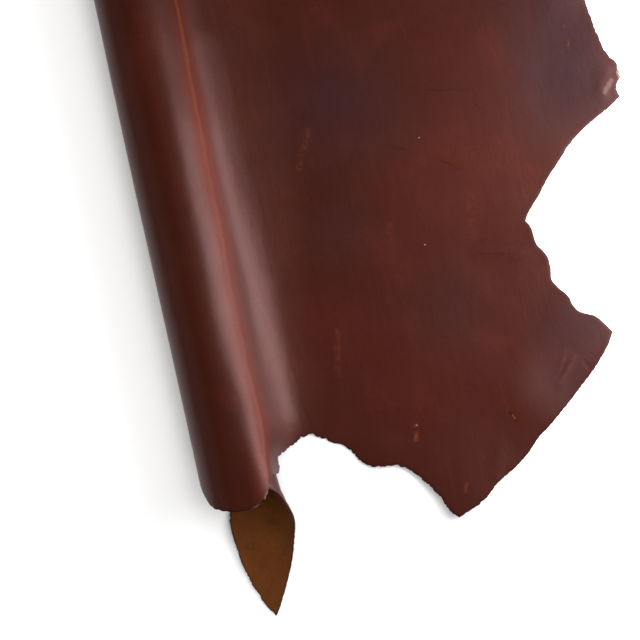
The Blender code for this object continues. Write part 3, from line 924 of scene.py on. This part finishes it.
def pull_up_masks(tree, fields):
    """Return the masks of the thin orange line on the hardest bend and the wide warm band there,
    which is partly pull-up and partly a painted highlight tint.
    """
    drift = {0: fields["wander"], 1: 0.3, 2: 0.7, 3: -LINE_DRIFT, 4: LINE_DRIFT}
    drift = add_node(tree, "MapRange", drift)
    off_line = add_node(tree, "Math", {0: fields["from line"], 1: drift}, operation="ADD")
    masks = []
    for away, (start, full, fade, end), strength in (
            (off_line, LINE_EDGES, "line strength"),
            (fields["from line"], BAND_EDGES, "band strength")):
        rise = add_node(tree, "MapRange", {0: away, 1: start, 2: full, 3: 0.0, 4: 1.0}, **SOFT)
        fall = add_node(tree, "MapRange", {0: away, 1: fade, 2: end, 3: 1.0, 4: 0.0}, **SOFT)
        band = add_node(tree, "Math", {0: rise, 1: fall}, operation="MULTIPLY")
        masks.append(add_node(tree, "Math", {0: band, 1: fields[strength]}, operation="MULTIPLY"))
    return masks


def wrinkle_mask(tree, fields):
    """Return the mask of fine wrinkles: a net of thin lines, in patches where the skin is loose."""
    net = add_node(tree, "Math", {0: fields["ridge"], 1: 0.5}, operation="SUBTRACT")
    net = add_node(tree, "Math", {0: net}, operation="ABSOLUTE")
    net = add_node(tree, "MapRange", {0: net, 1: 0.0, 2: 0.014, 3: 1.0, 4: 0.0}, **SOFT)
    return add_node(tree, "Math", {0: net, 1: fields["loose skin"]}, operation="MULTIPLY")


def waxed_grain():
    """Full-grain cowhide, aniline dyed, then hot stuffed with oil and wax and left unsealed.

    To the eye: a deep red-brown that is cloudy where the dye took unevenly, a satin waxy gloss,
    a fine pebbled grain, old scratches, and orange wherever bending moves the wax away.
    """
    material, tree = new_finish("waxed_pull_up_grain")
    flat = add_node(tree, "Attribute", {}, 1, attribute_name="flat")
    # The grain side has no depth of its own, so its patterns are drawn on the flat hide alone.
    place = add_node(tree, "VectorMath", {0: flat, 1: (1.0, 1.0, 0.0)}, operation="MULTIPLY")
    fields = {"edge": add_node(tree, "Attribute", {}, 2, attribute_name="edge")}
    for attribute, names in (("pull_up", ("from line", "line strength", "band strength")),
                             ("tone", ("red share", "dusk share"))):
        stored = add_node(tree, "Attribute", {}, 1, attribute_name=attribute)
        for number, name in enumerate(names):
            fields[name] = add_node(tree, "SeparateXYZ", {0: stored}, number)
    draw_patterns(tree, place, fields, GRAIN_PATTERNS, GRAIN_MASKS)

    # A mark's edge is not clean: it strays two millimetres or so to each side.
    wobble = add_node(tree, "TexNoise", {"Vector": place, "Scale": per_metre(7), "Detail": 2.0}, 1)
    wobble = add_node(tree, "VectorMath", {0: wobble, 1: (0.5, 0.5, 0.5)}, operation="SUBTRACT")
    wobble = add_node(tree, "VectorMath", {0: wobble, "Scale": MARK_WOBBLE}, operation="SCALE")
    strayed = add_node(tree, "VectorMath", {0: place, 1: wobble}, operation="ADD")
    marks, dents = mark_layers(tree, strayed, fields["waxy spots"])

    breakup = add_node(tree, "MapRange", {0: fields["cloud"], 1: 0.35, 2: 0.65, 3: 0.3, 4: 1.0})
    red_tone = add_node(tree, "Math", {0: fields["red share"], 1: breakup}, operation="MULTIPLY")
    line, pull_up_and_highlight_band = pull_up_masks(tree, fields)
    wrinkle = wrinkle_mask(tree, fields)
    # The wrinkles' lines are painted darker as well: painted shade in them.
    painted_wrinkle_shade = add_node(tree, "Math", {0: wrinkle, 1: 0.30}, operation="MULTIPLY")
    # Some of these layers are painted light: the dusk by the belly-side edge is partly painted
    # sheen, the warm band is partly a painted highlight tint, the wrinkles' dark is painted shade,
    # and several marks are painted shade, light or sheen.
    colour = paint_layers(tree, GRAIN_BROWN, [
        (GRAIN_DEEP, fields["deep"]), (GRAIN_RED, fields["red"]),
        (GRAIN_RED, fields["red streak"]), (GRAIN_DEEP, fields["dark streak"]),
        (GRAIN_RED, red_tone), (DUSK_AND_SHEEN_GREY, fields["dusk share"]), (PULL_UP_AND_HIGHLIGHT_WARM, pull_up_and_highlight_band),
        (PULL_UP_ORANGE, line), (DARK_EDGE_AND_CREASE_SHADE, painted_wrinkle_shade),
        (GRAIN_DEEP, fields["near the edge"]), (DARK_EDGE_AND_CREASE_SHADE, fields["rim"]), *marks,
    ])

    # Hair pores and pebbles: cowhide's grain is 0.5 to 1 mm, drawn at 1.5 mm so that it shows.
    bent_grain = add_node(tree, "VectorMath", {0: place, 1: wobble}, operation="SUBTRACT")
    pebbles = add_node(tree, "TexVoronoi", {"Vector": bent_grain, "Scale": per_metre(1.5)},
                       feature="DISTANCE_TO_EDGE")
    pebbles = add_node(tree, "MapRange", {0: pebbles, 1: 0.0, 2: 0.22, 3: 0.0, 4: 1.0}, **SOFT)
    mottle_light = {0: fields["mottle"], 1: 0.25, 2: 0.75, 3: 0.86, 4: 1.14}
    mottle_light = add_node(tree, "MapRange", mottle_light)
    pebble_light = add_node(tree, "MapRange", {0: pebbles, 1: 0.0, 2: 1.0, 3: 0.90, 4: 1.02})
    light = add_node(tree, "Math", {0: mottle_light, 1: pebble_light}, operation="MULTIPLY")
    colour = add_node(tree, "VectorMath", {0: colour, "Scale": light}, operation="SCALE")

    # The hide was never quite flat: long shallow ripples a finger wide, a tenth of a mm high.
    normal = raise_relief(tree, [
        (pebbles, 1.0), (fields["mottle"], 2.0), (fields["ripple"], 28.0), (wrinkle, -6.0),
        (dents, -9.0),
    ])
    roughness = add_node(tree, "MapRange", {0: fields["gloss"], 1: 0.3, 2: 0.7, 3: 0.36, 4: 0.42})
    shader = add_node(tree, "BsdfPrincipled", {
        "Base Color": colour, "Roughness": roughness, "Normal": normal, "IOR": 1.47,
        "Specular IOR Level": 0.38, "Specular Tint": WAX_TINT,
    })
    add_output(tree, shader)
    return material


def napped_flesh():
    """The flesh side of the same hide: split level and lightly buffed, so it has a short nap.

    To the eye: a dry tan-brown suede with no gloss, paler where the fibres stand up, with
    cloudy patches and short fibres.
    """
    material, tree = new_finish("napped_flesh_side")
    place = add_node(tree, "Attribute", {}, 1, attribute_name="flat")
    fields = {"edge": add_node(tree, "Attribute", {}, 2, attribute_name="edge")}
    draw_patterns(tree, place, fields, FLESH_PATTERNS, FLESH_MASKS)
    fibre_pale = add_node(tree, "MapRange", {0: fields["fibre"], 1: 0.50, 2: 0.75, 3: 0.0, 4: 0.45})
    colour = paint_layers(tree, FLESH_TAN, [
        (FLESH_DEEP, fields["deep"]), (FLESH_PALE, fields["pale"]), (FLESH_PALE, fibre_pale),
        (DARK_EDGE_AND_CREASE_SHADE, fields["rim"]),
    ])
    nap_light = add_node(tree, "MapRange", {0: fields["nap"], 1: 0.25, 2: 0.75, 3: 0.82, 4: 1.18})
    colour = add_node(tree, "VectorMath", {0: colour, "Scale": nap_light}, operation="SCALE")
    # The nap stands up a tenth of a millimetre or so.
    normal = raise_relief(tree, [(fields["nap"], 22.0), (fields["fibre"], 14.0)])
    shader = add_node(tree, "BsdfPrincipled", {
        "Base Color": colour, "Normal": normal, "Roughness": 0.92, "IOR": 1.4,
        "Specular IOR Level": 0.15, "Sheen Weight": 0.06, "Sheen Roughness": 0.5,
    })
    add_output(tree, shader)
    return material


def raw_cut_edge():
    """The knife-cut edge: bare fibre with no finish, dark where the grain's wax soaked in.

    To the eye: a thin dark line at the grain side, then a matt, hairy brown, paler to the flesh.
    """
    material, tree = new_finish("raw_cut_edge")
    place = add_node(tree, "Attribute", {}, 1, attribute_name="flat")
    depth = add_node(tree, "Attribute", {}, 2, attribute_name="depth")
    # Bundles of fibre are about a tenth of a millimetre, drawn at 0.8 mm so that they show.
    fibre = add_node(tree, "TexNoise", {"Vector": place, "Scale": per_metre(0.8), "Detail": 3.0,
                                        "Roughness": 0.7})
    uneven = add_node(tree, "Math", {0: fibre, 1: 0.35, 2: depth}, operation="MULTIPLY_ADD")
    soaked = add_node(tree, "MapRange", {0: uneven, 1: 0.30, 2: 0.75, 3: 1.0, 4: 0.0}, **SOFT)
    hair = add_node(tree, "MapRange", {0: fibre, 1: 0.50, 2: 0.72, 3: 0.0, 4: 0.6})
    colour = paint_layers(tree, FIBRE_BROWN, [(FLESH_PALE, hair), (DARK_EDGE_AND_CREASE_SHADE, soaked)])
    shader = add_node(tree, "BsdfPrincipled", {
        "Base Color": colour, "Normal": raise_relief(tree, [(fibre, 30.0)]), "Roughness": 0.9,
        "IOR": 1.4, "Specular IOR Level": 0.25,
    })
    add_output(tree, shader)
    return material


def matt_paper(colour):
    """Matt white background paper: it gives no reflections, only soft shadows."""
    material, tree = new_finish("matt_background_paper")
    fine = add_node(tree, "TexNoise", {"Scale": per_metre(900), "Detail": 2.0})
    light = add_node(tree, "MapRange", {0: fine, 1: 0.3, 2: 0.7, 3: 0.995, 4: 1.0})
    shade = add_node(tree, "VectorMath", {0: tuple(colour), "Scale": light}, operation="SCALE")
    shader = add_node(tree, "BsdfPrincipled", {
        "Base Color": shade, "Roughness": 1.0, "Specular IOR Level": 0.0,
    })
    add_output(tree, shader)
    return material


class LeatherSideSettings(bpy.types.PropertyGroup):
    """The leather side's sizes and how worn its edge and surface are."""

    thickness: bpy.props.FloatProperty(
        name="Thickness", description="How thick the leather is", default=0.002, unit="LENGTH")
    edge_step: bpy.props.FloatProperty(
        name="Edge step", description="How far apart the points on the cut edge are",
        default=0.0015, unit="LENGTH")
    raggedness: bpy.props.FloatProperty(
        name="Raggedness", description="How far the cut edge strays where it is torn",
        default=0.0017, unit="LENGTH")
    relief: bpy.props.FloatProperty(
        name="Relief", description="How strong the soft swells and creases are",
        default=1.0, subtype="FACTOR")


class StageSettings(bpy.types.PropertyGroup):
    """The floor, the lights and the camera."""

    floor_colour: bpy.props.FloatVectorProperty(
        name="Floor", description="Colour of the background paper", default=FLOOR_WHITE,
        size=3, subtype="COLOR")
    window_power: bpy.props.FloatProperty(
        name="Window light", description="Power of the low softbox on the belly's side",
        default=10.9, unit="POWER")
    fill_strength: bpy.props.FloatProperty(
        name="Fill light", description="Strength of the wide lights round the hide",
        default=1.0)
    camera_height: bpy.props.FloatProperty(
        name="Camera height", description="How high the camera is over the floor",
        default=4.0, unit="LENGTH")
    lens: bpy.props.FloatProperty(
        name="Lens", description="Focal length of the camera", default=160.7, unit="CAMERA")


class LEATHER_OT_build_side(bpy.types.Operator):
    """Build the bent leather sheet with its grain side, flesh side and cut edge"""

    bl_idname = "leather.build_side"
    bl_label = "Build the leather side"

    def execute(self, context):
        """Make the sheet's mesh and finishes and put it in place of the frame's solid."""
        mesh = build_sheet_mesh("leather_side", context.scene.leather_side)
        for finish in (waxed_grain(), napped_flesh(), raw_cut_edge()):
            mesh.materials.append(finish)
        piece = bpy.data.objects.new("leather_side", mesh)
        context.scene.collection.objects.link(piece)
        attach(piece, "root")
        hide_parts(CAD_NODE)
        return {"FINISHED"}


class LEATHER_OT_build_stage(bpy.types.Operator):
    """Lay the pale floor, hang the soft lights and set the camera over the butt end"""

    bl_idname = "leather.build_stage"
    bl_label = "Build the stage"

    def execute(self, context):
        """Make the floor, the lights, the surroundings and the camera."""
        scene = context.scene
        settings = scene.leather_stage
        lay_floor(scene, settings)
        hang_lights(scene, settings)
        set_surroundings(scene)
        set_camera(scene, settings)
        scene.view_settings.view_transform = "Standard"
        return {"FINISHED"}


class LEATHER_PT_panel(bpy.types.Panel):
    """The leather side's settings and builders in the 3D view's sidebar"""

    bl_idname = "LEATHER_PT_panel"
    bl_label = "Leather side"
    bl_space_type = "VIEW_3D"
    bl_region_type = "UI"
    bl_category = "Leather side"

    def draw(self, context):
        """List the settings with the button that builds from them."""
        groups = (
            (context.scene.leather_side, LEATHER_OT_build_side.bl_idname),
            (context.scene.leather_stage, LEATHER_OT_build_stage.bl_idname),
        )
        for settings, builder in groups:
            box = self.layout.box()
            for name in settings.__annotations__:
                box.prop(settings, name)
            box.operator(builder)


def lay_floor(scene, settings):
    """Lay a wide sheet of background paper under the hide."""
    half = FLOOR_WIDTH / 2.0
    mesh = bpy.data.meshes.new("floor")
    corners = [(-half, -half, 0.0), (half, -half, 0.0), (half, half, 0.0), (-half, half, 0.0)]
    mesh.from_pydata(corners, [], [(0, 1, 2, 3)])
    mesh.materials.append(matt_paper(settings.floor_colour))
    floor = bpy.data.objects.new("floor", mesh)
    scene.collection.objects.link(floor)


def hang_light(scene, name, kind, place, target, facts):
    """Hang one light at a place, aimed at a target, with the given facts."""
    light = bpy.data.lights.new(name, kind)
    for fact, value in facts.items():
        setattr(light, fact, value)
    lamp = bpy.data.objects.new(name, light)
    lamp.location = place
    lamp.rotation_euler = (Vector(target) - Vector(place)).to_track_quat("-Z", "Y").to_euler()
    lamp.visible_camera = False
    lamp.visible_glossy = kind == "AREA"
    scene.collection.objects.link(lamp)


def hang_lights(scene, settings):
    """Hang a low softbox on the belly's side, a warm reflector at the back and four wide fills."""
    window = {"shape": "RECTANGLE", "size": WINDOW_LENGTH, "size_y": WINDOW_HEIGHT,
              "energy": settings.window_power, "color": WINDOW_COLOUR}
    hang_light(scene, "window_softbox", "AREA", WINDOW_PLACE, WINDOW_TARGET, window)
    reflector = {"shape": "RECTANGLE", "size": REFLECTOR_LENGTH, "size_y": REFLECTOR_HEIGHT,
                 "energy": REFLECTOR_POWER, "color": REFLECTOR_COLOUR}
    hang_light(scene, "back_reflector", "AREA", REFLECTOR_PLACE, REFLECTOR_TARGET, reflector)
    for name, place, share in FILLS:
        fill = {"energy": settings.fill_strength * share, "angle": FILL_ANGLE}
        hang_light(scene, name, "SUN", place, (0.0, 0.0, 0.0), fill)


def set_surroundings(scene):
    """Make the room dim, so that nothing shines from above, but white where the camera sees it."""
    world = bpy.data.worlds.new("dim_studio")
    world.use_nodes = True
    tree = world.node_tree
    tree.nodes.clear()
    seen = add_node(tree, "LightPath", {}, 0)
    strength = add_node(tree, "MapRange", {0: seen, 3: ROOM_LIGHT, 4: 1.0})
    shine = add_node(tree, "Background", {"Color": (1.0, 1.0, 1.0), "Strength": strength})
    output = tree.nodes.new("ShaderNodeOutputWorld")
    tree.links.new(shine, output.inputs["Surface"])
    scene.world = world


def set_camera(scene, settings):
    """Hang the camera straight over the butt end, turned so that the roll leans to the left."""
    low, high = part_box(CAD_NODE)
    camera_data = bpy.data.cameras.new("camera")
    camera_data.lens = settings.lens
    camera_data.sensor_width = CAMERA_SENSOR
    camera_data.clip_end = CAMERA_SEES_TO
    camera = bpy.data.objects.new("camera", camera_data)
    right_of_box = high[0] - CAMERA_FROM_RIGHT
    up_from_tail = low[1] + CAMERA_FROM_TAIL
    camera.location = (right_of_box, up_from_tail, settings.camera_height)
    camera.rotation_euler = (0.0, 0.0, CAMERA_TURN)
    scene.collection.objects.link(camera)
    scene.camera = camera


CLASSES = (
    LeatherSideSettings,
    StageSettings,
    LEATHER_OT_build_side,
    LEATHER_OT_build_stage,
    LEATHER_PT_panel,
)


def register():
    """Register the classes and their settings on the scene."""
    for cls in CLASSES:
        bpy.utils.register_class(cls)
    bpy.types.Scene.leather_side = bpy.props.PointerProperty(type=LeatherSideSettings)
    bpy.types.Scene.leather_stage = bpy.props.PointerProperty(type=StageSettings)


def unregister():
    """Take the settings and the classes away again."""
    del bpy.types.Scene.leather_stage
    del bpy.types.Scene.leather_side
    for cls in reversed(CLASSES):
        bpy.utils.unregister_class(cls)


def main():
    """Build the piece, then the stage."""
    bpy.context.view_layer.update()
    register()
    bpy.ops.leather.build_side()
    bpy.ops.leather.build_stage()


if __name__ == "__main__":
    main()
